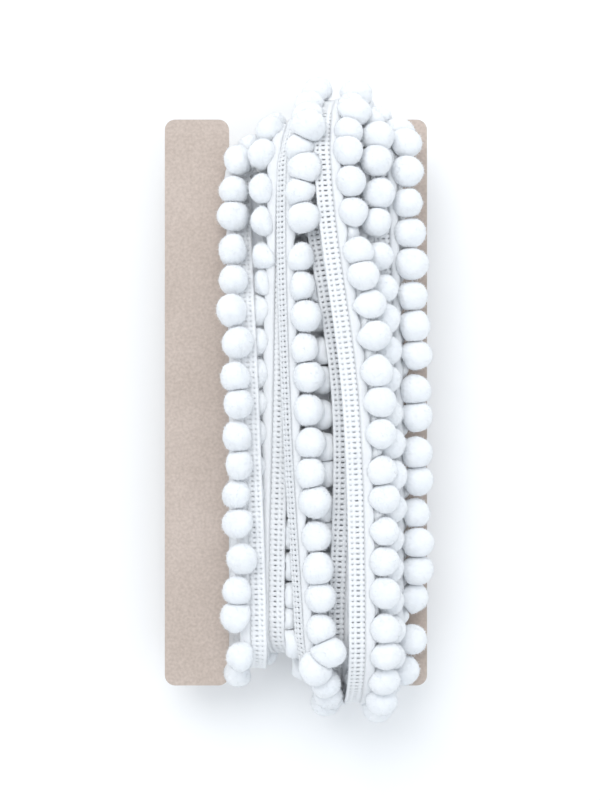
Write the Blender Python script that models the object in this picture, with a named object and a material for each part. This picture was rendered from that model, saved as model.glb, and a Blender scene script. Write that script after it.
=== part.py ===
"""A pompom fringe trim wound on a notched card, lying on its back.

The wound trim is one solid: a lumpy loop round the card's bridge, thin at the left and thick at the
right. The last turn lies over it as two pieces of its own, a heading tape and a comb of pompoms.
Everything is laid out in millimetres in the card's own frame: X across the card, Y along it, Z out
of its face, with zero at the middle of the board. The finished pieces are in metres and stand on
z = 0, centred in X and Y.
"""

from math import cos, floor, pi, sin

import bmesh
import bpy
from mathutils import Matrix, Vector

MM = 0.001

# The card: an H of grey-brown board, with a wide leg at the left and a narrow one at the right.
CARD_LENGTH = 180.0
CARD_LEFT = -41.7
CARD_RIGHT = 41.7
CARD_THICK = 1.6
LEFT_LEG = 20.4
RIGHT_LEG = 10.2
NOTCH_DEPTH = 18.0
CARD_CORNER = 3.3
NOTCH_CORNER = 1.5
CORNER_STEPS = 6
BRIDGE_HALF = CARD_LENGTH / 2 - NOTCH_DEPTH

# What touching pieces keep between them.
GAP = 0.3
# How far the wound trim's room for the card runs out past both sides and both ends.
ROOM_SIDE, ROOM_END = 60.0, 110.0

# The trim: a laddered tape with pompoms along one edge.
TAPE_WIDTH = 5.2
TAPE_THICK = 1.0
POMPOM_PITCH = 9.6
POMPOM_OUT = 4.7
POMPOM_ALONG = 4.4
POMPOM_HIGH = 4.2
POMPOM_FACETS = 2
SPINE_RADIUS = 0.9
SPINE_SIDES = 6
# How far the spine's middle sits above the tape's lower face, to run into the pompoms.
SPINE_RAISE = 1.5

# How far the wound trim reaches past the bridge's ends and stands off the board's middle, by place
# across the card. It is pressed flat at the back, where it lies.
WOUND_SECTIONS = [
    # x, top, front, bottom, back
    (-24.0, 2.4, 2.4, 2.4, 2.6),
    (-21.6, 5.2, 5.4, 5.0, 5.6),
    (-16.0, 7.8, 7.8, 7.2, 8.4),
    (-9.5, 13.4, 10.8, 9.6, 12.2),
    (-2.0, 18.6, 14.8, 14.0, 16.6),
    (6.0, 21.6, 17.8, 18.8, 19.8),
    (15.0, 22.2, 19.4, 22.2, 21.0),
    (24.0, 19.6, 19.4, 22.6, 21.0),
    (31.0, 14.6, 17.4, 19.4, 20.0),
    (37.4, 7.6, 12.6, 14.6, 15.0),
    (42.4, 1.8, 5.4, 6.4, 5.4),
]
WOUND_LEFT = WOUND_SECTIONS[0][0]
WOUND_RIGHT = WOUND_SECTIONS[-1][0]
MIDDLE_SWELL = 0.05
RESTING_DEPTH = 20.6
# The right side draws in towards the top end.
DRAWN_IN = 0.13
DRAWN_FROM, DRAWN_TO = 15.0, 88.0

# The knobs on the wound solid: columns of pompoms, side by side.
COLUMNS = 7
STATIONS_A_COLUMN = 4
KNOB_HEIGHT = 3.2
END_KNOB_HEIGHT = 2.0
KNOB_LOW = 0.25
KNOBS_ALONG = 16
KNOBS_ROUND = 6
STATIONS_A_KNOB = 2

# The last turn's tape, by place along the loop. 0 to 1 is the front from bottom to top, 1 to 2 the
# top end, and -1 to 0 the bottom end.
LAST_TURN = [
    # place, x
    (-0.70, 6.0),
    (-0.30, 5.0),
    (0.00, 0.6),
    (0.10, -2.4),
    (0.25, -3.9),
    (0.60, -4.0),
    (0.85, -4.8),
    (1.00, -4.4),
    (1.30, -2.6),
    (1.70, -2.4),
]
LAST_TURN_STATIONS = 60
# How far along the loop to look, as a share of one side, to find its direction.
LOOK_AHEAD = 0.01
# The wound trim is smooth and a little sunk where the last turn lies on it.
BED_DEPTH = 5.0
BED_LEFT, BED_RIGHT = 4.6, 14.6
BED_EDGE = 4.5
BED_FADE = 0.15
BED_LIFT = 1.0

CARD_COLOUR = (0.52, 0.43, 0.37)
TRIM_COLOUR = (0.9, 0.92, 0.95)


def between(low, high, value):
    """0 up to low, 1 from high on, and smooth between them."""
    share = min(1.0, max(0.0, (value - low) / (high - low)))
    return share * share * (3 - 2 * share)


def read_table(rows, at, column):
    """A table's column at a place between its rows, on one smooth curve through them."""
    last = len(rows) - 1
    row = max(i for i in range(last) if rows[i][0] <= at or i == 0)
    start, end = rows[row], rows[row + 1]
    before, after = rows[max(row - 1, 0)], rows[min(row + 2, last)]
    span = end[0] - start[0]
    share = min(1.0, max(0.0, (at - start[0]) / span))
    slope_in = (end[column] - before[column]) / (end[0] - before[0]) * span
    slope_out = (after[column] - start[column]) / (after[0] - start[0]) * span
    square, cube = share * share, share * share * share
    return (
        (2 * cube - 3 * square + 1) * start[column]
        + (cube - 2 * square + share) * slope_in
        + (3 * square - 2 * cube) * end[column]
        + (cube - square) * slope_out
    )


def bed(x, place):
    """1 where the last turn lies on the wound trim, falling to 0 beside it."""
    place = (place + 1) % 4 - 1
    first, last = LAST_TURN[0][0], LAST_TURN[-1][0]
    tape_x = read_table(LAST_TURN, min(last, max(first, place)), 1)
    left, right = tape_x - BED_LEFT, tape_x + BED_RIGHT
    across = between(left - BED_EDGE, left, x) * (1 - between(right, right + BED_EDGE, x))
    along = between(first - BED_FADE, first, place) * (1 - between(last, last + BED_FADE, place))
    return across * along


def knob(x, place):
    """How far the wound solid's knobs stand out at a place: pompoms in columns, staggered."""
    across = (x - WOUND_LEFT) / (WOUND_RIGHT - WOUND_LEFT) * COLUMNS
    column = min(COLUMNS - 1, floor(across))
    flat_side = floor(place) % 2 == 0
    count, height = (KNOBS_ALONG, KNOB_HEIGHT) if flat_side else (KNOBS_ROUND, END_KNOB_HEIGHT)
    along = 0.5 + 0.5 * cos(2 * pi * count * place + pi * column)
    ridge = sin(pi * (across - column)) ** 2
    return height * ridge * (KNOB_LOW + (1 - KNOB_LOW) * along) * (1 - bed(x, place))


def wound_point(x, place, lift=0.0):
    """A point of the wound trim's skin, lifted off it, in the card's frame."""
    lift -= BED_DEPTH * bed(x, place)
    place = place % 4
    top, front, bottom, back = (read_table(WOUND_SECTIONS, x, c) for c in (1, 2, 3, 4))
    part, share = floor(place), place - floor(place)
    turn = share * pi
    if part == 0:
        y = BRIDGE_HALF * (2 * share - 1)
        z = front * (1 + MIDDLE_SWELL * (1 - (y / BRIDGE_HALF) ** 2)) + lift
    elif part == 1:
        y = BRIDGE_HALF + (top + lift) * sin(turn)
        z = ((front if turn < pi / 2 else back) + lift) * cos(turn)
    elif part == 2:
        y = BRIDGE_HALF * (1 - 2 * share)
        z = -back * (1 + MIDDLE_SWELL * (1 - (y / BRIDGE_HALF) ** 2)) - lift
    else:
        y = -BRIDGE_HALF - (bottom + lift) * sin(turn)
        z = -((back if turn < pi / 2 else front) + lift) * cos(turn)
    drawn = 1 - DRAWN_IN * between(DRAWN_FROM, DRAWN_TO, y) if x > 0 else 1.0
    return Vector((x * drawn, y, max(z, -RESTING_DEPTH)))


def material(name, colour, roughness):
    """A plain finish."""
    made = bpy.data.materials.new(name)
    made.use_nodes = True
    shader = made.node_tree.nodes["Principled BSDF"]
    shader.inputs["Base Color"].default_value = (*colour, 1)
    shader.inputs["Roughness"].default_value = roughness
    shader.inputs["Metallic"].default_value = 0.0
    return made


def add_object(name, mesh, collection, finish):
    """Puts a mesh in a collection as a named object."""
    made = bpy.data.objects.new(name, mesh)
    collection.objects.link(made)
    mesh.materials.append(finish)
    return made


def rounded(corners):
    """The corners of a flat outline, each turned into an arc. A corner is x, y, radius."""
    points = []
    for i, (x, y, radius) in enumerate(corners):
        here = Vector((x, y))
        before = (Vector(corners[i - 1][:2]) - here).normalized()
        after = (Vector(corners[(i + 1) % len(corners)][:2]) - here).normalized()
        centre = here + (before + after) * radius
        start, end = -after * radius, -before * radius
        for step in range(CORNER_STEPS + 1):
            turn = step / CORNER_STEPS * pi / 2
            points.append(centre + start * cos(turn) + end * sin(turn))
    return points


def board(name, outline, thick, collection):
    """A flat outline as a board of that thickness, about z = 0, as a closed mesh."""
    curve = bpy.data.curves.new(name, "CURVE")
    curve.dimensions = "2D"
    curve.fill_mode = "BOTH"
    curve.extrude = thick / 2 * MM
    spline = curve.splines.new("POLY")
    spline.points.add(len(outline) - 1)
    for point, (x, y) in zip(spline.points, outline, strict=True):
        point.co = (x * MM, y * MM, 0, 1)
    spline.use_cyclic_u = True
    drawn = bpy.data.objects.new(name + "_outline", curve)
    collection.objects.link(drawn)
    bpy.context.view_layer.update()
    depsgraph = bpy.context.evaluated_depsgraph_get()
    mesh = bpy.data.meshes.new_from_object(drawn.evaluated_get(depsgraph))
    bpy.data.objects.remove(drawn)
    shape = bmesh.new()
    shape.from_mesh(mesh)
    bmesh.ops.remove_doubles(shape, verts=shape.verts, dist=0.01 * MM)
    bmesh.ops.recalc_face_normals(shape, faces=shape.faces)
    shape.to_mesh(mesh)
    shape.free()
    mesh.name = name
    return mesh


def card_outline():
    """The H, from its top left corner round."""
    half = CARD_LENGTH / 2
    inner_left, inner_right = CARD_LEFT + LEFT_LEG, CARD_RIGHT - RIGHT_LEG
    upper = [
        (CARD_LEFT, half, CARD_CORNER),
        (inner_left, half, CARD_CORNER),
        (inner_left, BRIDGE_HALF, NOTCH_CORNER),
        (inner_right, BRIDGE_HALF, NOTCH_CORNER),
        (inner_right, half, CARD_CORNER),
        (CARD_RIGHT, half, CARD_CORNER),
    ]
    lower = [(x, -y, radius) for x, y, radius in reversed(upper)]
    return rounded(upper + lower)


def card_room():
    """What the wound trim leaves free: the card with the gap round it, run out past both sides."""
    side, end = ROOM_SIDE, ROOM_END
    inner_left, inner_right = CARD_LEFT + LEFT_LEG + GAP, CARD_RIGHT - RIGHT_LEG - GAP
    bridge = BRIDGE_HALF + GAP
    corner = NOTCH_CORNER - GAP
    upper = [(-side, end, corner), (inner_left, end, corner), (inner_left, bridge, corner)]
    upper += [(inner_right, bridge, corner), (inner_right, end, corner), (side, end, corner)]
    return rounded(upper + [(x, -y, radius) for x, y, radius in reversed(upper)])


def skin(grid, name):
    """A closed mesh over a grid of points: rings that each close, with a cap on the first and last."""
    around = len(grid[0])
    points = [p * MM for ring in grid for p in ring]
    faces = []
    for i in range(len(grid) - 1):
        for j in range(around):
            near, far = i * around + j, i * around + (j + 1) % around
            faces.append((near, near + around, far + around, far))
    faces.append(tuple(range(around)))
    faces.append(tuple(reversed(range((len(grid) - 1) * around, len(grid) * around))))
    mesh = bpy.data.meshes.new(name)
    mesh.from_pydata(points, [], faces)
    shape = bmesh.new()
    shape.from_mesh(mesh)
    bmesh.ops.recalc_face_normals(shape, faces=shape.faces)
    shape.to_mesh(mesh)
    shape.free()
    return mesh


def wound_places():
    """The places round the loop where the wound solid has a station, on each knob and between."""
    places = []
    for part, count in enumerate((KNOBS_ALONG, KNOBS_ROUND, KNOBS_ALONG, KNOBS_ROUND)):
        stations = count * STATIONS_A_KNOB
        places += [part + i / stations for i in range(stations)]
    return places


def wound_mesh():
    """The wound trim's skin, lofted across the card."""
    stations = COLUMNS * STATIONS_A_COLUMN
    grid = []
    for i in range(stations + 1):
        x = WOUND_LEFT + (WOUND_RIGHT - WOUND_LEFT) * i / stations
        grid.append([wound_point(x, place, knob(x, place)) for place in wound_places()])
    return skin(grid, "wound_trim")


def last_turn_frame(place, tape_x):
    """Where the last turn lies: its tape's middle, its direction out over the pompoms, the way off
    the wound trim, and the way along the loop."""
    step = LOOK_AHEAD
    reach = TAPE_WIDTH / 2 + 2 * POMPOM_OUT
    low, high = wound_point(tape_x - TAPE_WIDTH / 2, place), wound_point(tape_x + reach, place)
    out = (high - low).normalized()
    ahead = wound_point(tape_x + reach / 2, place + step)
    behind = wound_point(tape_x + reach / 2, place - step)
    along = (ahead - behind).normalized()
    up = out.cross(along).normalized()
    middle = wound_point(tape_x + reach / 2, place)
    if up.dot(middle - Vector((middle.x, max(-BRIDGE_HALF, min(BRIDGE_HALF, middle.y)), 0))) < 0:
        up = -up
    out = (out - along * out.dot(along)).normalized()
    origin = low + out * TAPE_WIDTH / 2 + up * (BED_LIFT + (middle - low).dot(up))
    return origin, out, up, along


def last_turn_frames():
    """The last turn's frames, evenly along its tape."""
    first, last = LAST_TURN[0][0], LAST_TURN[-1][0]
    frames = []
    for i in range(LAST_TURN_STATIONS + 1):
        place = first + (last - first) * i / LAST_TURN_STATIONS
        frames.append(last_turn_frame(place, read_table(LAST_TURN, place, 1)))
    return frames


def tape_mesh(frames):
    """The heading tape of the last turn: a flat strip of its full thickness."""
    half, low, high = TAPE_WIDTH / 2, GAP, GAP + TAPE_THICK
    section = [(-half, low), (half, low), (half, high), (-half, high)]
    grid = [[origin + out * a + up * b for a, b in section] for origin, out, up, along in frames]
    return skin(grid, "heading_tape")


def pompom_row_mesh(frames):
    """The comb of pompoms: a cord beside the tape, with a pompom at each pitch."""
    spine_out, spine_up = TAPE_WIDTH / 2 + GAP + SPINE_RADIUS, GAP + SPINE_RAISE
    grid = []
    for origin, out, up, along in frames:
        centre = origin + out * spine_out + up * spine_up
        turns = [2 * pi * k / SPINE_SIDES for k in range(SPINE_SIDES)]
        grid.append([centre + (out * cos(t) + up * sin(t)) * SPINE_RADIUS for t in turns])
    return skin(grid, "pompom_spine")


def pompom_centres(frames):
    """Where the pompoms sit, at each pitch along their row, each with the frame it lies by."""
    row_out, row_up = TAPE_WIDTH / 2 + GAP + POMPOM_OUT, GAP + POMPOM_HIGH
    line = [origin + out * row_out + up * row_up for origin, out, up, along in frames]
    found, walked, wanted = [], 0.0, POMPOM_PITCH / 2
    for i in range(1, len(line)):
        step = (line[i] - line[i - 1]).length
        while walked + step >= wanted:
            found.append((line[i - 1].lerp(line[i], (wanted - walked) / step), frames[i]))
            wanted += POMPOM_PITCH
        walked += step
    return found


def pompoms_mesh(frames):
    """All the last turn's pompoms, as separate balls in one mesh."""
    shape = bmesh.new()
    for centre, (_origin, out, up, along) in pompom_centres(frames):
        place = Matrix((out, along, up)).transposed().to_4x4()
        place.translation = centre
        size = Matrix.Diagonal((POMPOM_OUT, POMPOM_ALONG, POMPOM_HIGH, 1))
        bmesh.ops.create_icosphere(shape, subdivisions=POMPOM_FACETS, radius=1, matrix=place @ size)
    bmesh.ops.scale(shape, vec=(MM, MM, MM), verts=shape.verts)
    bmesh.ops.recalc_face_normals(shape, faces=shape.faces)
    mesh = bpy.data.meshes.new("pompom_balls")
    shape.to_mesh(mesh)
    shape.free()
    return mesh


def cutter(name, mesh, collection, finish):
    """An object that only cuts or joins."""
    made = add_object(name, mesh, collection, finish)
    made.hide_render = True
    made.display_type = "WIRE"
    return made


def boolean(target, other, operation):
    """Cuts other out of target, or joins it on. Joined pompoms may meet each other."""
    modifier = target.modifiers.new(operation.lower(), "BOOLEAN")
    modifier.operation = operation
    modifier.solver = "EXACT"
    modifier.use_self = operation == "UNION"
    modifier.object = other


def standing_point(pieces):
    """The middle of the underside of the box round the pieces, which becomes the origin."""
    bpy.context.view_layer.update()
    depsgraph = bpy.context.evaluated_depsgraph_get()
    corners = []
    for piece in pieces:
        evaluated = piece.evaluated_get(depsgraph)
        corners += [evaluated.matrix_world @ v.co for v in evaluated.data.vertices]
    low = Vector(min(c[i] for c in corners) for i in range(3))
    high = Vector(max(c[i] for c in corners) for i in range(3))
    return Vector(((low.x + high.x) / 2, (low.y + high.y) / 2, low.z))


def main():
    for old in list(bpy.data.objects):
        bpy.data.objects.remove(old)
    parts = bpy.data.collections.new("pompom_trim_on_card")
    cutters = bpy.data.collections.new("cutters")
    bpy.context.scene.collection.children.link(parts)
    bpy.context.scene.collection.children.link(cutters)

    card_finish = material("card_board", CARD_COLOUR, 0.9)
    trim_finish = material("white_trim", TRIM_COLOUR, 0.95)

    card = add_object("card", board("card", card_outline(), CARD_THICK, parts), parts, card_finish)
    wound = add_object("wound_trim", wound_mesh(), parts, trim_finish)
    room_mesh = board("card_room", card_room(), CARD_THICK + 2 * GAP, cutters)
    boolean(wound, cutter("card_room", room_mesh, cutters, card_finish), "DIFFERENCE")

    frames = last_turn_frames()
    tape = add_object("last_turn_tape", tape_mesh(frames), parts, trim_finish)
    row = add_object("last_turn_pompoms", pompom_row_mesh(frames), parts, trim_finish)
    boolean(row, cutter("pompom_balls", pompoms_mesh(frames), cutters, trim_finish), "UNION")

    pieces = [card, wound, tape, row]
    origin = standing_point(pieces)
    for made in pieces + list(cutters.objects):
        made.location = -origin
    print("origin in the card's frame, mm:", [round(v / MM, 3) for v in origin])


main()
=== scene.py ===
"""The finish of a pompom fringe trim wound lengthwise round a notched card, lying on its back.

The trim is laid turn by turn round the card: a laddered heading tape with a satin selvedge, and
cotton pompoms along the selvedge. Each turn has its own place across the card; how far it stands off
the card is found by pulling the whole winding tight.

Lengths are in millimetres in the card's own frame, as in the part: X across the card, Y along it, Z
out of its face, zero at the middle of the board. A place round the winding runs from 0 at the front's
lower end to 1 at its upper end, on over that end to 2, down the back to 3 and round to 4.
"""

from math import pi

import bmesh
import bpy
import numpy as np
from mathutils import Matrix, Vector


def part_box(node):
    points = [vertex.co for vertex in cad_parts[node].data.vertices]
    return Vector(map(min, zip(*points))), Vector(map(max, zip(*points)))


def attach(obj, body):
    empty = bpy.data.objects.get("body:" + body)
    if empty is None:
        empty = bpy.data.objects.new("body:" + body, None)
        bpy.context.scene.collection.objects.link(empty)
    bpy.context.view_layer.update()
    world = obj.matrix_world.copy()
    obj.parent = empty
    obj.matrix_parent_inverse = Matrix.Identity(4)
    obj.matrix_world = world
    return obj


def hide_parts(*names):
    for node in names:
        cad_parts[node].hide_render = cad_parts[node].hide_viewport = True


MM = 0.001

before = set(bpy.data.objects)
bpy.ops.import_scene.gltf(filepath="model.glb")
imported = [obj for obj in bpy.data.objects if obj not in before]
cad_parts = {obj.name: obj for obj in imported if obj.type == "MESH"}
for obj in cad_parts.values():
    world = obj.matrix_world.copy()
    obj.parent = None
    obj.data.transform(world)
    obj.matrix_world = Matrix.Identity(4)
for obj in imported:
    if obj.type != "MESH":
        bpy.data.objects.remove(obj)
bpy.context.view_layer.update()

CARD_LOW, CARD_HIGH = (np.array(corner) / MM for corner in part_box("card"))
CARD_MIDDLE = (CARD_LOW + CARD_HIGH) / 2
CARD_HALF = (CARD_HIGH - CARD_LOW) / 2
FLOOR = -CARD_MIDDLE[2]
LOWEST = 0.02

# The card's notches, which the winding fills.
NOTCH_DEPTH = 18.0
NOTCH_LEFT, NOTCH_RIGHT = -21.3, 31.5
BRIDGE_HALF = CARD_HALF[1] - NOTCH_DEPTH

# The trim, measured across it from the heading's free edge.
PITCH = 9.6
RUNGS_A_PITCH = 6
RUNG_PITCH = PITCH / RUNGS_A_PITCH
LADDER_WIDTH = 5.2
SELVEDGE_WIDTH = 2.6
SCALLOP = 0.7
NECK_AT = 6.2
POMPOM_AT = 10.6
POMPOM_RADIUS = 4.85
HEADING_THICK = 0.35

# The padding of turns that never shows, by place across the card: how far it reaches past the
# bridge's upper end, off the face, past the lower end and off the back.
CORE = [
    # x, top, front, bottom, back
    (-21.3, 0.9, 1.0, 0.9, 1.0),
    (-12.0, 1.6, 1.8, 1.2, 1.4),
    (-4.0, 6.0, 5.5, 3.4, 2.6),
    (4.0, 11.0, 10.0, 7.0, 4.6),
    (12.0, 11.0, 9.6, 8.6, 5.0),
    (22.0, 8.0, 8.2, 8.8, 5.0),
    (28.0, 4.6, 6.0, 6.6, 4.0),
    (31.5, 2.0, 1.6, 3.0, 1.6),
]
MIDDLE_SWELL = 0.08

# The turns from the inside out: the way the pompoms point (1 right, -1 left), how far the ladder
# droops, the height off the padding to start from and the least it may come down to, how far the
# pompoms stand from the ladder's middle, and the place across on the way up the front, from round
# the lower end to round the upper end.
TURNS = [
    # name, facing, droop, start, least, arms, x round the bottom, low, middle, high, round the top
    ("under_1", 1, 0, 3.0, 0.8, (8, 8), 22.0, 24.0, 24.0, 22.0, 20.0),
    ("under_2", 1, 0, 3.2, 0.8, (8, 8), 17.0, 16.5, 16.0, 14.0, 14.0),
    ("under_3", 1, 0, 3.4, 0.8, (8, 8), 11.0, 8.5, 8.0, 6.0, 8.0),
    ("under_4", 1, 0, 3.6, 0.8, (8, 8), 4.0, 1.0, 0.6, -1.0, 2.0),
    ("under_5", 1, 0, 4.0, 0.8, (8, 8), -5.0, -9.0, -8.0, -8.0, -5.0),
    ("turn_1", 1, 0, 8.0, 0.8, (8.4, 8.4), 24.6, 28.6, 28.6, 25.6, 23.0),
    ("turn_2", 1, 0, 11.0, 0.8, (8, 8), 19.0, 20.0, 20.0, 16.0, 17.0),
    ("turn_3", 1, 0, 13.0, 0.8, (8, 8), 12.0, 12.4, 13.6, 4.0, 6.0),
    ("turn_4", 1, 0, 17.0, 0.8, (8.6, 7.6), 17.4, 18.6, 16.6, 8.2, 10.0),
    ("turn_5", -1, 0, 9.0, 0.8, (8, 8), -3.0, -6.0, -4.7, -3.2, 0.0),
    ("turn_6", -1, 0, 8.0, 0.8, (5.4, 2.6), -12.0, -11.6, -14.0, -16.8, -13.0),
    ("turn_7", 1, 40, 25.0, 12.0, (7.6, 7.6), 3.4, 0.2, -3.9, -5.2, -0.5),
]
UNDER_TURNS = 5
LAST_END = 1.62


def read_rows(rows, at, column):
    """A table's column at places between its rows."""
    table = np.array(rows)
    return np.interp(at, table[:, 0], table[:, column])


def smooth_through(keys, values, at):
    """One smooth curve through values at keys, read at many places."""
    keys, values = np.asarray(keys, float), np.asarray(values, float)
    slopes = np.gradient(values, keys)
    row = np.clip(np.searchsorted(keys, at) - 1, 0, len(keys) - 2)
    span = keys[row + 1] - keys[row]
    share = np.clip((at - keys[row]) / span, 0, 1)
    square, cube = share**2, share**3
    return (
        (2 * cube - 3 * square + 1) * values[row]
        + (cube - 2 * square + share) * slopes[row] * span
        + (3 * square - 2 * cube) * values[row + 1]
        + (cube - square) * slopes[row + 1] * span
    )


def ease(low, high, at):
    """0 up to low, 1 from high on, and smooth between them."""
    share = np.clip((at - low) / (high - low), 0, 1)
    return share * share * (3 - 2 * share)


def unit(vectors):
    return vectors / np.maximum(np.linalg.norm(vectors, axis=-1, keepdims=True), 1e-9)


def dot(a, b):
    return np.einsum("...i,...i->...", a, b)


def winding_point(x, place, height):
    """Points round the winding at a height off the padding."""
    place = np.mod(place, 4)
    top, front, bottom, back = (read_rows(CORE, x, c) for c in (1, 2, 3, 4))
    share = place - np.floor(place)
    along = BRIDGE_HALF * (2 * share - 1)
    swell = 1 + MIDDLE_SWELL * (1 - (along / BRIDGE_HALF) ** 2)
    turn = share * pi
    depth_over = front + (back - front) * share
    depth_under = back + (front - back) * share
    sides = [place < 1, place < 2, place < 3, place < 5]
    y = np.select(
        sides,
        [
            along,
            BRIDGE_HALF + (top + height) * np.sin(turn),
            -along,
            -BRIDGE_HALF - (bottom + height) * np.sin(turn),
        ],
    )
    z = np.select(
        sides,
        [
            front * swell + height,
            (depth_over + height) * np.cos(turn),
            -back * swell - height,
            -(depth_under + height) * np.cos(turn),
        ],
    )
    return np.stack([x + 0 * y, y, z], axis=-1)


def padding_clearance(points):
    """How far points are off the padding and the card's legs, and the way out from them."""
    x, y, z = points[..., 0], points[..., 1], points[..., 2]
    over = np.clip(np.abs(y) - BRIDGE_HALF, 0, None)
    reach = np.where(y > 0, read_rows(CORE, x, 1), read_rows(CORE, x, 3))
    depth = np.where(z > 0, read_rows(CORE, x, 2), read_rows(CORE, x, 4))
    flat = np.stack([0 * x, over / reach * np.sign(y), z / depth], axis=-1)
    size = np.maximum(np.linalg.norm(flat, axis=-1), 1e-6)
    offset = np.stack([0 * x, over * np.sign(y), z], axis=-1)
    off = np.linalg.norm(offset, axis=-1) * (1 - 1 / size)
    way = unit(offset)
    on_leg = ((x < NOTCH_LEFT) | (x > NOTCH_RIGHT)) & (np.abs(y) < CARD_HALF[1])
    leg_off = np.abs(z) - CARD_HALF[2]
    off = np.where(on_leg, leg_off, off)
    way = np.where(on_leg[..., None], np.stack([0 * x, 0 * x, np.sign(z)], axis=-1), way)
    return off, way


# ---------------------------------------------------------------------------- laying the trim


def path_keys():
    """Where the heading runs across the card along the whole length."""
    places, across = [], []
    for i, turn in enumerate(TURNS):
        places += [4 * i - 0.5, 4 * i, 4 * i + 0.5, 4 * i + 1, 4 * i + 1.5]
        across += turn[6:]
    return places, across


def by_turn(column):
    return np.array([turn[column] for turn in TURNS], float)


def turn_at(place):
    """The turn a place belongs to, each from its way round the lower end."""
    return np.clip(np.floor((place + 0.9) / 4).astype(int), 0, len(TURNS) - 1)


def roll_at(place):
    """The heading's roll about its length: 0 with the pompoms to the right, half a turn to the left."""
    turn = np.clip(np.floor(place / 4).astype(int), 0, len(TURNS) - 1)
    after = np.clip(turn + 1, 0, len(TURNS) - 1)
    rolls = np.where(by_turn(1) > 0, 0.0, pi)
    return rolls[turn] + (rolls[after] - rolls[turn]) * ease(1.7, 3.1, place - 4 * turn)


def droop_at(place):
    """How far the ladder droops from the selvedge, in radians."""
    droops = np.radians(by_turn(2))
    turn = turn_at(place)
    return droops[turn] * ease(-0.9, -0.3, place - 4 * turn) * (1 - ease(1.2, 1.8, place - 4 * turn))


def read_arm(place):
    """How far the pompoms stand from the ladder's middle."""
    keys = np.concatenate([[4 * i, 4 * i + 1] for i in range(len(TURNS))])
    return np.interp(place, keys, np.concatenate([turn[5] for turn in TURNS]))


def height_at(place):
    """The height off the padding that a turn starts from, before it is pulled tight."""
    keys = np.concatenate([[4 * i - 0.5, 4 * i + 1.5] for i in range(len(TURNS))])
    return np.interp(place, keys, np.repeat(by_turn(3), 2))


class Laid:
    """The trim as laid: heading frames along its length, read at any place."""

    def __init__(self, places, heights):
        self.places, self.heights = places, heights
        self.keys, self.across = path_keys()

    def frames(self, place):
        """Heading middle, way out to the pompoms, way along, way up off the tape, way off the card."""
        step = 0.004
        height = np.interp(place, self.places, self.heights)
        x = smooth_through(self.keys, self.across, place)
        ahead_x = smooth_through(self.keys, self.across, place + step)
        ahead_height = np.interp(place + step, self.places, self.heights)
        middle = winding_point(x, place, height)
        along = unit(winding_point(ahead_x, place + step, ahead_height) - middle)
        side = winding_point(x + 2.0, place, height) - winding_point(x - 2.0, place, height) + (4, 0, 0)
        off = unit(np.cross(unit(side), along))
        way = winding_point(x, place, height + 1) - middle
        off = np.where(dot(off, way)[..., None] < 0, -off, off)
        side = unit(np.cross(along, off))
        roll = roll_at(place)[..., None]
        out = side * np.cos(roll) + off * np.sin(roll)
        up = off * np.cos(roll) - side * np.sin(roll)
        return middle, out, along, up, off


def even_places(first, last, spacing):
    """Places an even distance apart along the trim, as far as its length goes."""
    fine = np.linspace(first, last, int((last - first) * 400))
    laid = Laid(fine, height_at(fine))
    middle, out, _along, _up, _off = laid.frames(fine)
    line = middle + out * (POMPOM_AT - LADDER_WIDTH / 2) * 0.5
    walked = np.concatenate([[0], np.cumsum(np.linalg.norm(np.diff(line, axis=0), axis=-1))])
    count = int(walked[-1] / spacing)
    return np.interp((np.arange(count) + 0.5) * spacing, walked, fine)


PULLS = 140
PULL = 0.16
SQUASH = 0.8
TAPE_HALF = 2.2
POMPOM_SLACK = 3.0


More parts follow.
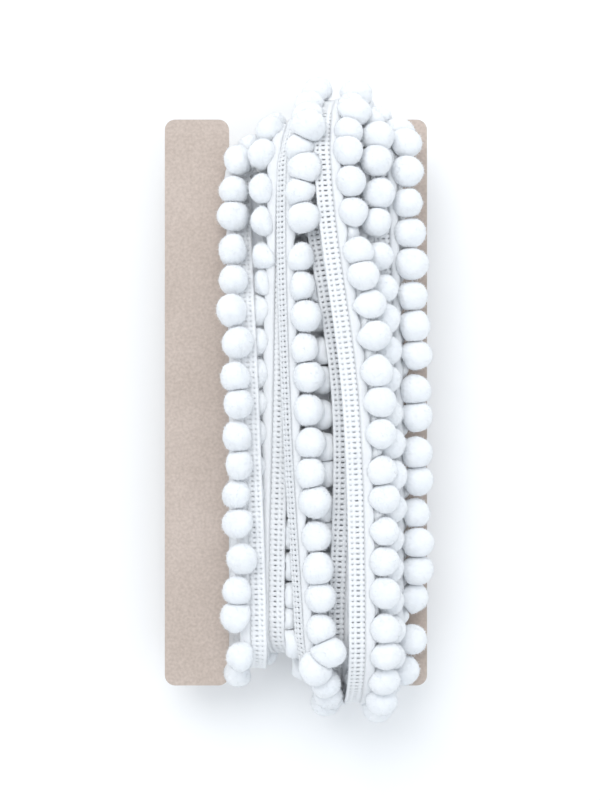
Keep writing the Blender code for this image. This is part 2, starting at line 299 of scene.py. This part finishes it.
def pull_tight():
    """Pulls the winding in until every heading and pompom lies on what is under it."""
    rng = np.random.default_rng(11)
    last = 4 * (len(TURNS) - 1) + LAST_END
    tape_place = even_places(0.0, last, PITCH / 2)
    pompom_station = np.arange(1, len(tape_place) - 1, 2)
    heights = height_at(tape_place) + 2.0
    tape_turn = turn_at(tape_place)
    least = by_turn(4)[tape_turn]
    pompom_turn = tape_turn[pompom_station]
    count = len(pompom_station)
    radius = POMPOM_RADIUS * rng.uniform(0.93, 1.07, count)
    laid = Laid(tape_place, np.zeros(len(tape_place)))
    base, out, _along, _up, _off = laid.frames(tape_place)
    off = winding_point(base[:, 0], tape_place, 1.0) - base
    stray = rng.normal(0, 1, (count, 3)) * (0.5, 0.7, 0.5)
    arm_out = read_arm(tape_place[pompom_station])[:, None]
    raised = 0.6 + np.clip(8.0 - arm_out, 0, None) * 0.8
    arm = out[pompom_station] * arm_out + off[pompom_station] * raised + stray
    pompoms = (base + off * heights[:, None])[pompom_station] + arm
    higher_turn = tape_turn[:, None] > pompom_turn[None]
    other_turn = tape_turn[:, None] != pompom_turn[None]
    for pull in range(PULLS):
        firm = pull > PULLS * 0.8
        heights -= PULL * (0.4 if firm else 1.0)
        tape = base + off * heights[:, None]
        anchor = tape[pompom_station] + arm
        pompoms += (anchor - pompoms) * 0.25 - off[pompom_station] * PULL * 0.8
        # Pompoms push each other apart.
        gap = pompoms[:, None] - pompoms[None]
        far = np.linalg.norm(gap, axis=-1) + np.eye(count) * 99
        room = (radius[:, None] + radius[None]) * SQUASH
        push = np.clip(room - far, 0, None) * 0.4
        pompoms += np.sum(gap / far[..., None] * push[..., None], axis=1)
        # A later heading lies over earlier pompoms, and later pompoms lie over earlier headings.
        reach = tape[:, None] - pompoms[None]
        across = np.clip(-dot(reach, out[:, None]), -TAPE_HALF, TAPE_HALF)
        reach = reach + out[:, None] * across[..., None]
        lift = dot(reach, off[:, None])
        beside = np.linalg.norm(reach - off[:, None] * lift[..., None], axis=-1)
        room = (radius * SQUASH + 0.9)[None]
        sign = np.where(higher_turn, 1.0, -1.0)
        need = np.sqrt(np.clip(room**2 - beside**2, 0, None))
        short = np.where(other_turn & (beside < room) & (np.abs(lift) < 16), need - sign * lift, 0)
        short = np.clip(short, 0, 2.0)
        level = 1 - ease(0.35, 0.8, beside / room)
        heights += np.max(short * level * (sign > 0), axis=1) * 0.5
        heights -= np.max(short * level * (sign < 0), axis=1) * 0.25
        deepest = np.argmax(short * (0.2 + level), axis=0)
        pick = (deepest, np.arange(count))
        aside = reach[pick] - off[deepest] * lift[pick][:, None]
        share = level[pick][:, None]
        pompoms -= off[deepest] * (short[pick] * sign[pick])[:, None] * 0.5 * share
        pompoms -= unit(aside) * short[pick][:, None] * 0.4 * (1 - share)
        # A later heading lies over earlier headings.
        reach = tape[:, None] - tape[None]
        lift = dot(reach, off[:, None])
        beside = np.linalg.norm(reach - off[:, None] * lift[..., None], axis=-1)
        later = tape_turn[:, None] > tape_turn[None]
        short = np.where(later & (beside < 5.0) & (np.abs(lift) < 12), 1.5 - lift, 0)
        heights += np.max(np.clip(short, 0, 2), axis=1) * 0.5
        # The padding and the card hold both, and so does the surface under them.
        heights = np.maximum(heights, least)
        clear, way = padding_clearance(pompoms)
        pompoms += way * np.clip(radius * SQUASH - clear, 0, None)[:, None]
        pompoms[:, 2] = np.maximum(pompoms[:, 2], FLOOR + radius * 0.8)
        tape_low = FLOOR + 0.6 - (base[:, 2] + off[:, 2] * heights)
        heights -= np.clip(tape_low, 0, None) * (off[:, 2] < -0.5)
        # The heading is taut.
        taut = np.convolve(np.pad(heights, 2, mode="edge"), np.array([1, 2, 3, 2, 1]) / 9, mode="valid")
        heights += (taut - heights) * 0.5
        # The neck only gives so much.
        tape = base + off * heights[:, None]
        strain = pompoms - (tape[pompom_station] + arm)
        length = np.linalg.norm(strain, axis=-1, keepdims=True)
        pompoms -= strain * np.clip(1 - POMPOM_SLACK / np.maximum(length, 1e-6), 0, 1) * 0.5
    return tape_place, heights, pompom_station, pompoms, radius, tape_turn


# ---------------------------------------------------------------------------- pieces


def to_row(points):
    return (np.asarray(points) + CARD_MIDDLE) * MM


def keep_off_the_ground(mesh):
    """Lifts whatever would lie under the surface that the winding rests on."""
    points = np.empty(len(mesh.vertices) * 3)
    mesh.vertices.foreach_get("co", points)
    points[2::3] = np.maximum(points[2::3], LOWEST * MM)
    mesh.vertices.foreach_set("co", points)
    mesh.update()


def mesh_from(name, points, faces, uv=None):
    """A mesh in the frame's metres, smooth shaded."""
    mesh = bpy.data.meshes.new(name)
    mesh.from_pydata(to_row(points).tolist(), [], faces)
    keep_off_the_ground(mesh)
    mesh.polygons.foreach_set("use_smooth", [True] * len(mesh.polygons))
    if uv is not None:
        corners = np.empty(len(mesh.loops), int)
        mesh.loops.foreach_get("vertex_index", corners)
        layer = mesh.uv_layers.new(name="threads")
        layer.data.foreach_set("uv", np.asarray(uv)[corners].ravel())
    return mesh


def add_piece(name, mesh, finish):
    piece = bpy.data.objects.new(name, mesh)
    bpy.context.scene.collection.objects.link(piece)
    mesh.materials.append(finish)
    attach(piece, "root")
    return piece


def quad_ball(cuts):
    """A unit ball of even quads, as points and faces."""
    shape = bmesh.new()
    bmesh.ops.create_cube(shape, size=2)
    bmesh.ops.subdivide_edges(shape, edges=shape.edges[:], cuts=cuts, use_grid_fill=True)
    points = np.array([v.co[:] for v in shape.verts])
    faces = [tuple(v.index for v in f.verts) for f in shape.faces]
    shape.free()
    rounder = np.tan(points * pi / 4)
    return unit(rounder), faces


# Across the ladder: the edges of its warp cords and of the holes between them.
LADDER_ACROSS = np.array([0.0, 0.5, 1.0, 1.55, 2.0, 2.5, 3.45, 4.0, 4.55, 4.9, LADDER_WIDTH])
LADDER_RISE = np.array([0.0, 0.28, 0.12, 0.1, 0.32, 0.12, 0.1, 0.3, 0.1, 0.1, 0.3])
HOLE_COLUMNS = (2, 5, 8)
RUNG_ALONG = np.array([0.0, 0.6, 1.2])
RUNG_RISE = np.array([0.0, 0.3, 0.0])
SELVEDGE_ACROSS = np.array([0.0, 0.25, 0.55, 0.85, 1.0])
SELVEDGE_RISE = np.array([0.3, 0.75, 0.8, 0.45, 0.0])
SELVEDGE_ROWS = 12


def heading_points(laid, place, across, rise):
    """Points on the heading at a place along and across, raised off its middle sheet."""
    middle, out, _along, up, _off = laid.frames(place)
    droop = droop_at(place)[..., None]
    hinge = middle + out * LADDER_WIDTH / 2
    shift = (across - LADDER_WIDTH)[..., None]
    rise = rise[..., None]
    bent = np.clip(shift, None, 0)
    fold = np.where(shift < 0, droop, 0)
    points = hinge + out * (shift - bent) + bent * (out * np.cos(fold) + up * np.sin(fold))
    points += (up * np.cos(fold) - out * np.sin(fold)) * rise * np.cos(roll_at(place))[..., None]
    points[..., 2] = np.maximum(points[..., 2], FLOOR + 0.5)
    return points


def strip_faces(rows, columns, first, skip):
    """Quads of a strip of rows and columns of points, but for the cells left open."""
    faces = []
    for row in range(rows - 1):
        for column in range(columns - 1):
            if not skip(row, column):
                near = first + row * columns + column
                faces.append((near, near + 1, near + columns + 1, near + columns))
    return faces


def heading_mesh(laid, name, first, last, open_work):
    """One turn's heading: a ladder of rungs and cords, and the satin selvedge beside it."""
    fine = np.linspace(first, last, int((last - first) * 400))
    middle, out, *_rest = laid.frames(fine)
    walked = np.concatenate([[0], np.cumsum(np.linalg.norm(np.diff(middle, axis=0), axis=-1))])
    rungs = int(walked[-1] / RUNG_PITCH)
    start = (np.arange(rungs) * RUNG_PITCH)[:, None]
    along = (start + RUNG_ALONG[None]).ravel()
    rise = np.tile(RUNG_RISE, rungs)
    columns = len(LADDER_ACROSS)
    place = np.interp(along, walked, fine)
    grid_place = np.repeat(place, columns)
    grid_across = np.tile(LADDER_ACROSS, len(along))
    grid_rise = np.maximum(np.repeat(rise, columns), np.tile(LADDER_RISE, len(along)))
    points = heading_points(laid, grid_place, grid_across, grid_rise)
    uv = np.stack([grid_across, np.repeat(along, columns)], axis=-1)

    def opened(row, column):
        return open_work and row % 3 == 2 and column in HOLE_COLUMNS

    faces = strip_faces(len(along), columns, 0, opened)
    rows = int(walked[-1] / PITCH * SELVEDGE_ROWS)
    along = np.linspace(0, walked[-1], rows)
    lobe = 0.5 - 0.5 * np.cos(2 * pi * along / PITCH)
    width = SELVEDGE_WIDTH + SCALLOP * lobe
    columns = len(SELVEDGE_ACROSS)
    place = np.interp(along, walked, fine)
    across = LADDER_WIDTH - 0.25 + width[:, None] * SELVEDGE_ACROSS[None]
    rise = SELVEDGE_RISE[None] * (1 + 0.12 * np.cos(pi * np.arange(rows)))[:, None]
    side = heading_points(laid, np.repeat(place, columns), across.ravel(), rise.ravel())
    side_uv = np.stack([across.ravel(), np.repeat(along, columns)], axis=-1)
    faces += strip_faces(rows, columns, len(points), lambda row, column: False)
    return mesh_from(name, np.concatenate([points, side]), faces, np.concatenate([uv, side_uv]))


def thicken(piece, thick):
    """Gives a strip its thickness, and keeps it as plain mesh."""
    shell = piece.modifiers.new("thickness", "SOLIDIFY")
    shell.thickness = thick * MM
    shell.offset = -1
    shell.use_even_offset = False
    bpy.context.view_layer.update()
    depsgraph = bpy.context.evaluated_depsgraph_get()
    made = bpy.data.meshes.new_from_object(piece.evaluated_get(depsgraph))
    piece.modifiers.clear()
    old = piece.data
    keep_off_the_ground(made)
    made.name = old.name
    piece.data = made
    bpy.data.meshes.remove(old)


class Pompoms:
    """Every pompom: where it sits, its neck, its size, and what presses on it."""

    def __init__(self, laid, station_place, station_turn, stations, centres, radius):
        self.centres, self.radius = centres, radius
        self.turn = station_turn[stations]
        self.place = station_place[stations]
        middle, out, along, up, off = laid.frames(self.place)
        self.neck = middle + out * (NECK_AT - LADDER_WIDTH / 2) + off * 0.3
        self.axis = unit(centres - self.neck)
        self.along = unit(along - self.axis * dot(along, self.axis)[:, None])
        self.up = np.cross(self.axis, self.along)
        self.reach = np.linalg.norm(centres - self.neck, axis=-1)
        self.tapes = laid.frames(station_place)
        self.tape_turn = station_turn
        self.rng = np.random.default_rng(5)

    def shaped(self, index, ball):
        """One pompom's skin: an egg on its neck, lumpy, and pressed flat by what it touches."""
        rng, radius = self.rng, self.radius[index]
        a, b, c = ball[:, 0], ball[:, 1], ball[:, 2]
        girth = np.sqrt(np.clip(1 - a * a, 0, 1))
        pointed = rng.uniform(0.0, 0.25)
        bend = 1 + 0.15 * np.clip(-a, 0, 1) + pointed * np.clip(a, 0, 1)
        slim = np.where(girth > 1e-6, girth**bend / np.maximum(girth, 1e-6), 1)
        length = np.where(a > 0, radius * rng.uniform(1.0, 1.16), self.reach[index])
        lumps = np.zeros(len(ball))
        for pitch in (3, 4, 5, 6, 9, 11, 13, 15):
            way = unit(rng.normal(0, 1, 3)) * pitch
            lumps += 0.075 / pitch * np.sin(ball @ way + rng.uniform(0, 2 * pi))
        size = radius * (1 + lumps)
        skin = (
            self.centres[index]
            + self.axis[index] * (a * length)[:, None]
            + self.along[index] * (b * slim * size * rng.uniform(0.97, 1.06))[:, None]
            + self.up[index] * (c * slim * size * rng.uniform(0.9, 1.0))[:, None]
        )
        return self.pressed(index, skin)

    def pressed(self, index, skin):
        """A skin flattened where it meets its neighbours, headings, the padding, card and floor."""
        here = self.centres[index]
        gap = self.centres - here
        far = np.linalg.norm(gap, axis=-1)
        reach = (self.radius + self.radius[index]) * 1.2
        for other in np.flatnonzero((far > 0) & (far < reach)):
            way = gap[other] / far[other]
            share = self.radius[index] / (self.radius[index] + self.radius[other])
            past = (skin - here) @ way - far[other] * share + 0.02
            soft = 0.35
            press = np.where(past > 6 * soft, past, soft * np.log1p(np.exp(past / soft)))
            skin = skin - way * press[:, None]
        middle, out, along, up, off = self.tapes
        side_up = np.where(dot(up, off)[:, None] < 0, -up, up)
        flat = np.abs(dot(up, off)) > 0.7
        close = np.linalg.norm(middle + out * 1.5 - here, axis=-1) < 11
        for tape in np.flatnonzero(flat & close & (self.tape_turn != self.turn[index])):
            over = self.tape_turn[tape] > self.turn[index]
            way = side_up[tape] if over else -side_up[tape]
            local = skin - middle[tape]
            across = local @ out[tape] + LADDER_WIDTH / 2
            beside = np.abs(local @ along[tape])
            past = local @ way + 0.75
            edge = ease(-1.2, 0.2, across) * (1 - ease(8.2, 9.6, across)) * (1 - ease(2.4, 4.4, beside))
            press = np.clip(past, 0, None) * edge * (past < 7)
            skin = skin - way * press[:, None]
        clear, way = padding_clearance(skin)
        skin = skin + way * np.clip(0.1 - clear, 0, 3)[:, None]
        skin[:, 2] = np.maximum(skin[:, 2], FLOOR + 0.05)
        return skin


def pompom_turn_mesh(pompoms, name, indices, ball, faces):
    """One turn's pompoms in one mesh, with their fibres' direction as a map."""
    points, all_faces, uv = [], [], []
    around = np.arctan2(ball[:, 2], ball[:, 1]) / (2 * pi)
    for index in indices:
        first = len(points) * len(ball)
        points.append(pompoms.shaped(index, ball))
        uv.append(np.stack([around + 0.37 * (index % 17), ball[:, 0]], axis=-1))
        all_faces += [tuple(first + v for v in face) for face in faces]
    return mesh_from(name, np.concatenate(points), all_faces, np.concatenate(uv)), points


def padding_mesh():
    """The turns that never show, as one closed body a little inside the ones that do."""
    rows = np.linspace(CORE[0][0], CORE[-1][0], 23)
    places = np.concatenate([np.linspace(i, i + 1, 24, endpoint=False) for i in range(4)])
    around = len(places)
    points = np.concatenate([winding_point(np.full(around, x), places, -0.2) for x in rows])
    faces = []
    for i in range(len(rows) - 1):
        for j in range(around):
            near, far = i * around + j, i * around + (j + 1) % around
            faces.append((near, near + around, far + around, far))
    faces.append(tuple(range(around)))
    faces.append(tuple(reversed(range((len(rows) - 1) * around, len(rows) * around))))
    return mesh_from("padding", points, faces)


BALL_CUTS = 7
HIDDEN_BALL_CUTS = 5
FIBRES_A_POMPOM = 700
FIBRE_WIDTH = 0.16


def fuzz_mesh(pompoms, name, skins, faces, seed):
    """Loose fibres standing off the pompoms, each a thin triangle."""
    rng = np.random.default_rng(seed)
    corners = np.array([face[:3] for face in faces])
    points = []
    for index, skin in skins:
        pick = rng.integers(0, len(faces), FIBRES_A_POMPOM)
        a, b, c = (skin[corners[pick, i]] for i in range(3))
        share = rng.uniform(0, 1, (FIBRES_A_POMPOM, 2, 1))
        root = a + (b - a) * share[:, 0] + (c - b) * share[:, 1]
        away = unit(root - pompoms.centres[index])
        lean = unit(rng.normal(0, 1, (FIBRES_A_POMPOM, 3)))
        length = rng.uniform(0.35, 0.95, (FIBRES_A_POMPOM, 1))
        tip = root + unit(away + lean * 0.8) * length
        width = unit(np.cross(away, lean)) * FIBRE_WIDTH / 2
        points.append(np.stack([root - width, root + width, tip], axis=1).reshape(-1, 3))
    points = np.concatenate(points)
    count = len(points) // 3
    return mesh_from(name, points, np.arange(count * 3).reshape(-1, 3).tolist())


# ---------------------------------------------------------------------------- finishes


def group(name, inputs, outputs):
    """An empty effect with named inputs (name, value) and outputs (name, kind)."""
    tree = bpy.data.node_groups.new(name, "ShaderNodeTree")
    for label, value in inputs:
        socket = tree.interface.new_socket(name=label, in_out="INPUT", socket_type="NodeSocketFloat")
        socket.default_value = value
    for label, kind in outputs:
        tree.interface.new_socket(name=label, in_out="OUTPUT", socket_type=kind)
    return tree, tree.nodes.new("NodeGroupInput"), tree.nodes.new("NodeGroupOutput")


def node(tree, kind, **settings):
    made = tree.nodes.new(kind)
    for label, value in settings.items():
        setattr(made, label, value)
    return made


def place_group(tree, effect, **values):
    made = tree.nodes.new("ShaderNodeGroup")
    made.node_tree = effect
    for label, value in values.items():
        made.inputs[label.replace("_", " ")].default_value = value
    return made


def mottle_effect():
    """Soft patches from 0 to 1, of a given size in millimetres."""
    tree, inward, outward = group("mottle", [("Size", 8.0), ("Contrast", 1.0)], [("Mask", "NodeSocketFloat")])
    where = node(tree, "ShaderNodeTexCoord")
    scale = node(tree, "ShaderNodeMath", operation="DIVIDE")
    scale.inputs[0].default_value = 1 / MM
    tree.links.new(inward.outputs["Size"], scale.inputs[1])
    noise = node(tree, "ShaderNodeTexNoise")
    noise.inputs["Detail"].default_value = 4
    tree.links.new(where.outputs["Object"], noise.inputs["Vector"])
    tree.links.new(scale.outputs[0], noise.inputs["Scale"])
    spread = node(tree, "ShaderNodeMath", operation="MULTIPLY_ADD", use_clamp=True)
    centred = node(tree, "ShaderNodeMath", operation="SUBTRACT")
    centred.inputs[1].default_value = 0.5
    tree.links.new(noise.outputs["Fac"], centred.inputs[0])
    tree.links.new(centred.outputs[0], spread.inputs[0])
    tree.links.new(inward.outputs["Contrast"], spread.inputs[1])
    spread.inputs[2].default_value = 0.5
    tree.links.new(spread.outputs[0], outward.inputs["Mask"])
    return tree


def fibre_effect():
    """Fine fibres along the threads map: a height from 0 to 1."""
    inputs = [("Across", 60.0), ("Along", 3.0)]
    outputs = [("Height", "NodeSocketFloat")]
    tree, inward, outward = group("fibres", inputs, outputs)
    where = node(tree, "ShaderNodeUVMap", uv_map="threads")
    split = node(tree, "ShaderNodeSeparateXYZ")
    join = node(tree, "ShaderNodeCombineXYZ")
    tree.links.new(where.outputs[0], split.inputs[0])
    for axis, label in ((0, "Across"), (1, "Along")):
        times = node(tree, "ShaderNodeMath", operation="MULTIPLY")
        tree.links.new(split.outputs[axis], times.inputs[0])
        tree.links.new(inward.outputs[label], times.inputs[1])
        tree.links.new(times.outputs[0], join.inputs[axis])
    noise = node(tree, "ShaderNodeTexNoise")
    noise.inputs["Scale"].default_value = 1.0
    noise.inputs["Detail"].default_value = 3
    tree.links.new(join.outputs[0], noise.inputs["Vector"])
    tree.links.new(noise.outputs["Fac"], outward.inputs["Height"])
    return tree


def principled(name, **values):
    finish = bpy.data.materials.new(name)
    finish.use_nodes = True
    tree = finish.node_tree
    shader = tree.nodes["Principled BSDF"]
    for label, value in values.items():
        shader.inputs[label.replace("_", " ")].default_value = value
    return finish, tree, shader


def mix_colours(tree, mask, low, high):
    mix = node(tree, "ShaderNodeMix", data_type="RGBA")
    tree.links.new(mask, mix.inputs[0])
    mix.inputs[6].default_value = (*low, 1)
    mix.inputs[7].default_value = (*high, 1)
    return mix.outputs[2]


def add_bump(tree, shader, height, distance, strength, before=None):
    bump = node(tree, "ShaderNodeBump")
    bump.inputs["Strength"].default_value = strength
    bump.inputs["Distance"].default_value = distance * MM
    tree.links.new(height, bump.inputs["Height"])
    if before is not None:
        tree.links.new(before.outputs[0], bump.inputs["Normal"])
    tree.links.new(bump.outputs[0], shader.inputs["Normal"])
    return bump


def pile_finish(mottle, fibres):
    """Cotton pile: matt white, faintly streaked from neck to tip."""
    finish, tree, shader = principled("cotton_pile", Roughness=1.0, Sheen_Weight=0.3, Sheen_Roughness=0.6)
    shader.inputs["Specular IOR Level"].default_value = 0.1
    shader.inputs["Subsurface Weight"].default_value = 0.6
    shader.inputs["Subsurface Radius"].default_value = (1, 1, 1)
    shader.inputs["Subsurface Scale"].default_value = 2.5 * MM
    patch = place_group(tree, mottle, Size=5.0, Contrast=2.0)
    colour = mix_colours(tree, patch.outputs["Mask"], (0.84, 0.865, 0.895), (0.90, 0.915, 0.935))
    tree.links.new(colour, shader.inputs["Base Color"])
    streak = place_group(tree, fibres, Across=70.0, Along=2.5)
    first = add_bump(tree, shader, streak.outputs["Height"], 0.25, 0.5)
    down = place_group(tree, mottle, Size=0.5, Contrast=1.5)
    add_bump(tree, shader, down.outputs["Mask"], 0.15, 0.5, first)
    return finish


def heading_finish(mottle, fibres):
    """The heading's shiny white yarn."""
    finish, tree, shader = principled("heading_yarn", Roughness=0.6, Sheen_Weight=0.1)
    shader.inputs["Base Color"].default_value = (0.89, 0.905, 0.925, 1)
    shader.inputs["Specular IOR Level"].default_value = 0.35
    shader.inputs["Subsurface Weight"].default_value = 0.4
    shader.inputs["Subsurface Radius"].default_value = (1, 1, 1)
    shader.inputs["Subsurface Scale"].default_value = 1.2 * MM
    threads = place_group(tree, fibres, Across=1.2, Along=7.0)
    add_bump(tree, shader, threads.outputs["Height"], 0.12, 0.5)
    return finish


def card_finish(mottle):
    """Grey-brown board: fine fibres, soft patches and a few dark specks."""
    finish, tree, shader = principled("card_board", Roughness=0.92)
    shader.inputs["Specular IOR Level"].default_value = 0.2
    patch = place_group(tree, mottle, Size=24.0, Contrast=2.2)
    colour = mix_colours(tree, patch.outputs["Mask"], (0.54, 0.455, 0.40), (0.60, 0.51, 0.455))
    fine = place_group(tree, mottle, Size=0.9, Contrast=2.4)
    grain = node(tree, "ShaderNodeMix", data_type="RGBA", blend_type="MULTIPLY")
    grain.inputs[0].default_value = 1.0
    shade = mix_colours(tree, fine.outputs["Mask"], (0.86, 0.85, 0.84), (1.06, 1.06, 1.06))
    tree.links.new(colour, grain.inputs[6])
    tree.links.new(shade, grain.inputs[7])
    tree.links.new(grain.outputs[2], shader.inputs["Base Color"])
    add_bump(tree, shader, fine.outputs["Mask"], 0.12, 0.4)
    return finish


# ---------------------------------------------------------------------------- the stage


CAMERA_HEIGHT = 450.0
VIEW_MIDDLE = (1.3, 0.8)
VIEW_HEIGHT = 254.9


def add_camera():
    camera = bpy.data.cameras.new("camera")
    camera.sensor_width = 36
    camera.lens = camera.sensor_width * CAMERA_HEIGHT / VIEW_HEIGHT
    camera.clip_start, camera.clip_end = 0.01, 20
    holder = bpy.data.objects.new("camera", camera)
    bpy.context.scene.collection.objects.link(holder)
    holder.location = to_row((*VIEW_MIDDLE, CAMERA_HEIGHT)).tolist()
    bpy.context.scene.camera = holder


def add_light(name, place, size, power, colour):
    light = bpy.data.lights.new(name, "AREA")
    light.shape = "DISK"
    light.size, light.energy, light.color = size, power, colour
    holder = bpy.data.objects.new(name, light)
    bpy.context.scene.collection.objects.link(holder)
    holder.location = place
    holder.rotation_euler = (-Vector(place)).to_track_quat("-Z", "Y").to_euler()


def add_stage():
    mesh = bpy.data.meshes.new("floor")
    size = 4.0
    corners = [(-size, -size, 0), (size, -size, 0), (size, size, 0), (-size, size, 0)]
    mesh.from_pydata(corners, [], [(0, 1, 2, 3)])
    floor = bpy.data.objects.new("floor", mesh)
    bpy.context.scene.collection.objects.link(floor)
    finish, _tree, _shader = principled("floor_white", Base_Color=(0.95, 0.95, 0.95, 1), Roughness=0.9)
    mesh.materials.append(finish)
    add_light("key", (-0.3, 0.9, 1.3), 1.2, 11, (1, 0.99, 0.98))
    add_light("fill", (0.6, -0.3, 1.5), 1.6, 3, (0.95, 0.97, 1))
    world = bpy.data.worlds.new("studio")
    bpy.context.scene.world = world
    world.use_nodes = True
    background = world.node_tree.nodes["Background"]
    background.inputs["Color"].default_value = (0.90, 0.95, 1.0, 1)
    background.inputs["Strength"].default_value = 0.85
    bpy.context.scene.view_settings.view_transform = "Standard"
    bpy.context.scene.view_settings.exposure = 0.0


def main():
    add_camera()
    add_stage()
    mottle, fibres = mottle_effect(), fibre_effect()
    pile, yarn, board = pile_finish(mottle, fibres), heading_finish(mottle, fibres), card_finish(mottle)
    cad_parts["card"].data.materials.clear()
    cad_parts["card"].data.materials.append(board)

    places, heights, stations, centres, radius, turn = pull_tight()
    laid = Laid(places, heights)
    pompoms = Pompoms(laid, places, turn, stations, centres, radius)
    full_ball, coarse_ball = quad_ball(BALL_CUTS), quad_ball(HIDDEN_BALL_CUTS)

    padding = add_piece("padding", padding_mesh(), pile)
    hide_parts("wound_trim")
    last = 4 * (len(TURNS) - 1) + LAST_END
    for number, row in enumerate(TURNS):
        name = row[0]
        ball, faces = full_ball if number >= UNDER_TURNS else coarse_ball
        first = max(0.0, 4 * number - 0.9)
        end = min(last, 4 * number + 3.1)
        heading = add_piece(
            name + "_heading",
            heading_mesh(laid, name + "_heading", first, end, number >= UNDER_TURNS),
            yarn,
        )
        thicken(heading, HEADING_THICK)
        indices = np.flatnonzero(pompoms.turn == number)
        mesh, skins = pompom_turn_mesh(pompoms, name + "_pompoms", indices, ball, faces)
        fringe = add_piece(name + "_pompoms", mesh, pile)
        if number >= UNDER_TURNS:
            down = fuzz_mesh(pompoms, name + "_fuzz", list(zip(indices, skins)), faces, number)
            add_piece(name + "_fuzz", down, yarn)
        if number == len(TURNS) - 1:
            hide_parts("last_turn_tape")
            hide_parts("last_turn_pompoms")


main()
